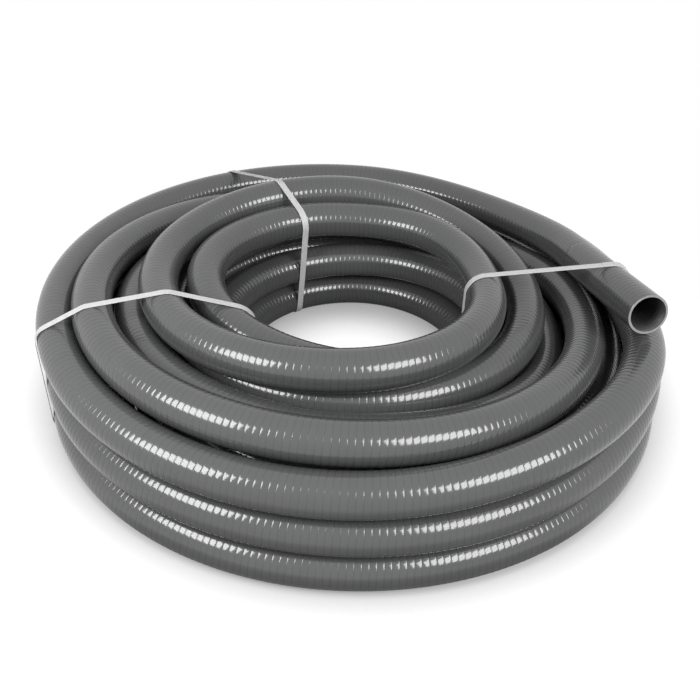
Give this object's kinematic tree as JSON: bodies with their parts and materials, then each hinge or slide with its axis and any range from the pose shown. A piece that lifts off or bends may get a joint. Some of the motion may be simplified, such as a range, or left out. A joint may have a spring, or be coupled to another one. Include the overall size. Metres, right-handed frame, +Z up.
{
  "type": "coiled drain hose",
  "caption": "Long flexible ribbed drain hose wound into a loose ring, tied with flat straps, one open end left free across the top",
  "frame": {"origin": "the middle of the ring's box, on the surface that the ring lies on", "axes": "+Z up through the eye of the ring; +X to the side of the open end; -Y towards the side that the open end points to"},
  "size_m": [0.8332, 0.8264, 0.2157],
  "materials": {
    "hose": "grey flexible vinyl with a soft sheen",
    "strap": "off-white woven-look strapping, matt"
  },
  "bodies": {
    "root": {"hose_coil": "hose", "hose_end": "hose", "strap_left": "strap", "strap_back": "strap", "strap_right": "strap"}
  },
  "joints": []
}
